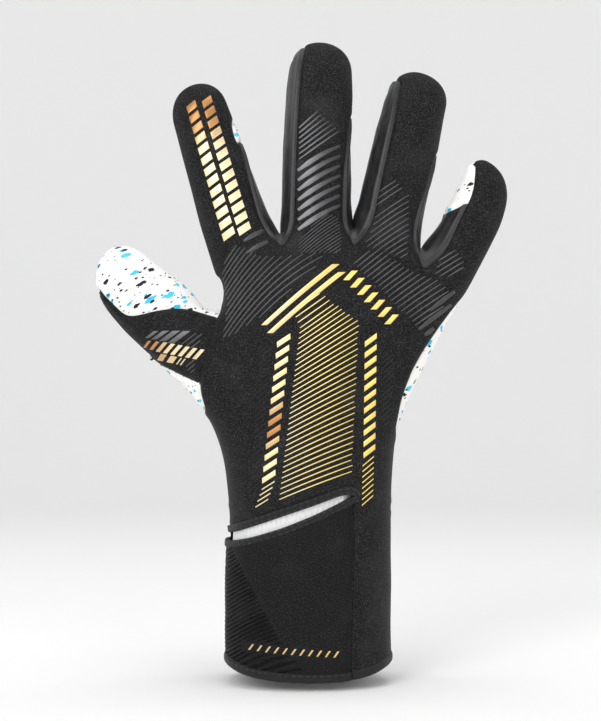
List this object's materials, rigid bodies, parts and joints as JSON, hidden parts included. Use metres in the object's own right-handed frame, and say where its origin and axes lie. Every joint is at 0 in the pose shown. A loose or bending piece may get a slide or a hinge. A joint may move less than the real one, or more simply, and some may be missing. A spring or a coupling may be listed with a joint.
{
  "type": "goalkeeper glove",
  "caption": "Right-hand padded goalkeeper glove with foam latex palm, knitted back, leather finger gussets and a wrap-round wrist strap.",
  "frame": {"origin": "centre of the wrist opening, level with the lowest point of the hem", "axes": "+Z from the wrist up the middle finger, +X to the little-finger side, +Y to the palm; the back of the hand faces -Y"},
  "size_m": [0.1858, 0.0588, 0.2817],
  "materials": {
    "neoprene": "matt knitted neoprene",
    "strap": "matt ribbed elastic",
    "leather": "soft grained, half gloss",
    "latex": "matt foam latex with fine flecks",
    "lining": "brushed foam lining",
    "binding": "woven tape",
    "elastic": "ribbed knitted elastic",
    "hook_and_loop": "hook and loop tape"
  },
  "bodies": {
    "cuff": {"cuff_panel": "neoprene", "cuff_hem_binding": "binding", "wrist_flex_strip": "neoprene", "loop_patch": "hook_and_loop", "wrist_sleeve": "elastic"},
    "strap_front": {"strap_front": "strap", "strap_front_top_binding": "binding", "strap_front_hem_binding": "binding"},
    "strap_wrap": {"strap_wrap": "strap", "strap_wrap_top_binding": "binding", "strap_wrap_hem_binding": "binding", "hook_patch": "hook_and_loop"},
    "hand": {"back_panel": "neoprene", "palm_latex": "latex", "palm_foam": "lining", "hand_edge_binding": "binding", "web_index_middle": "leather", "web_middle_ring": "leather", "web_ring_little": "leather"},
    "index_base": {"index_base_back": "neoprene", "index_base_palm": "latex", "index_base_gusset_little_side": "leather"},
    "index_tip": {"index_tip_back": "neoprene", "index_tip_palm": "latex", "index_tip_gusset_little_side": "leather"},
    "middle_base": {"middle_base_back": "neoprene", "middle_base_palm": "latex", "middle_base_gusset_thumb_side": "leather", "middle_base_gusset_little_side": "leather"},
    "middle_tip": {"middle_tip_back": "neoprene", "middle_tip_palm": "latex", "middle_tip_gusset_thumb_side": "leather", "middle_tip_gusset_little_side": "leather"},
    "ring_base": {"ring_base_back": "neoprene", "ring_base_palm": "latex", "ring_base_gusset_thumb_side": "leather", "ring_base_gusset_little_side": "leather"},
    "ring_tip": {"ring_tip_back": "neoprene", "ring_tip_palm": "latex", "ring_tip_gusset_thumb_side": "leather", "ring_tip_gusset_little_side": "leather"},
    "little_base": {"little_base_back": "neoprene", "little_base_palm": "latex", "little_base_gusset_thumb_side": "leather"},
    "little_tip": {"little_tip_back": "neoprene", "little_tip_palm": "latex", "little_tip_gusset_thumb_side": "leather"},
    "thumb_base": {"thumb_base_back": "neoprene", "thumb_base_latex": "latex"},
    "thumb_tip": {"thumb_tip_back": "neoprene", "thumb_tip_latex": "latex"}
  },
  "joints": [
    {"name": "wrist_flex", "type": "hinge", "parent": "cuff", "child": "hand", "pos_m": [0, -0.008, 0.08], "axis": [-1, 0, 0], "range_deg": [-10, 35], "stiffness_Nm_per_rad": 0.6, "deforming": ["wrist_sleeve", "wrist_flex_strip"]},
    {"name": "strap_wrap", "type": "hinge", "parent": "strap_front", "child": "strap_wrap", "pos_m": [-0.0362, -0.0077, 0.035], "axis": [0, 0, 1], "range_deg": [0, 120]},
    {"name": "strap_front", "type": "hinge", "parent": "cuff", "child": "strap_front", "pos_m": [0.0219, -0.0231, 0.035], "axis": [0, 0, 1], "range_deg": [0, 40]},
    {"name": "index_knuckle", "type": "hinge", "parent": "hand", "child": "index_base", "pos_m": [-0.027, 0.005, 0.19], "axis": [-0.9511, 0, -0.309], "range_deg": [0, 72], "stiffness_Nm_per_rad": 0.1, "deforming": ["web_index_middle"]},
    {"name": "index_middle", "type": "hinge", "parent": "index_base", "child": "index_tip", "pos_m": [-0.0372, 0.00648, 0.22138], "axis": [-0.9511, 0, -0.309], "range_deg": [0, 65], "stiffness_Nm_per_rad": 0.06},
    {"name": "middle_knuckle", "type": "hinge", "parent": "hand", "child": "middle_base", "pos_m": [0.0037, 0.005, 0.192], "axis": [-0.9998, 0, 0.0174], "range_deg": [0, 72], "stiffness_Nm_per_rad": 0.1, "deforming": ["web_middle_ring"]},
    {"name": "middle_middle", "type": "hinge", "parent": "middle_base", "child": "middle_tip", "pos_m": [0.00438, 0.00669, 0.23099], "axis": [-0.9998, 0, 0.0174], "range_deg": [0, 65], "stiffness_Nm_per_rad": 0.06},
    {"name": "ring_knuckle", "type": "hinge", "parent": "hand", "child": "ring_base", "pos_m": [0.0345, 0.005, 0.191], "axis": [-0.9751, 0, 0.2215], "range_deg": [0, 72], "stiffness_Nm_per_rad": 0.1, "deforming": ["web_ring_little"]},
    {"name": "ring_middle", "type": "hinge", "parent": "ring_base", "child": "ring_tip", "pos_m": [0.04225, 0.00657, 0.22513], "axis": [-0.9751, 0, 0.2215], "range_deg": [0, 65], "stiffness_Nm_per_rad": 0.06},
    {"name": "little_knuckle", "type": "hinge", "parent": "hand", "child": "little_base", "pos_m": [0.0615, 0.005, 0.183], "axis": [-0.891, 0, 0.454], "range_deg": [0, 72], "stiffness_Nm_per_rad": 0.1},
    {"name": "little_middle", "type": "hinge", "parent": "little_base", "child": "little_tip", "pos_m": [0.07103, 0.00593, 0.20171], "axis": [-0.891, 0, 0.454], "range_deg": [0, 65], "stiffness_Nm_per_rad": 0.06},
    {"name": "thumb_base", "type": "hinge", "parent": "hand", "child": "thumb_base", "pos_m": [-0.04485, 0.00983, 0.14439], "axis": [-0.5126, 0.6428, -0.5693], "range_deg": [0, 28], "stiffness_Nm_per_rad": 0.1},
    {"name": "thumb_middle", "type": "hinge", "parent": "thumb_base", "child": "thumb_tip", "pos_m": [-0.06666, 0.01069, 0.165], "axis": [-0.5126, 0.6428, -0.5693], "range_deg": [0, 40], "stiffness_Nm_per_rad": 0.06}
  ],
  "couplings": [
    {"joint": "strap_front", "follows": "strap_wrap", "ratio": 0.3333}
  ]
}
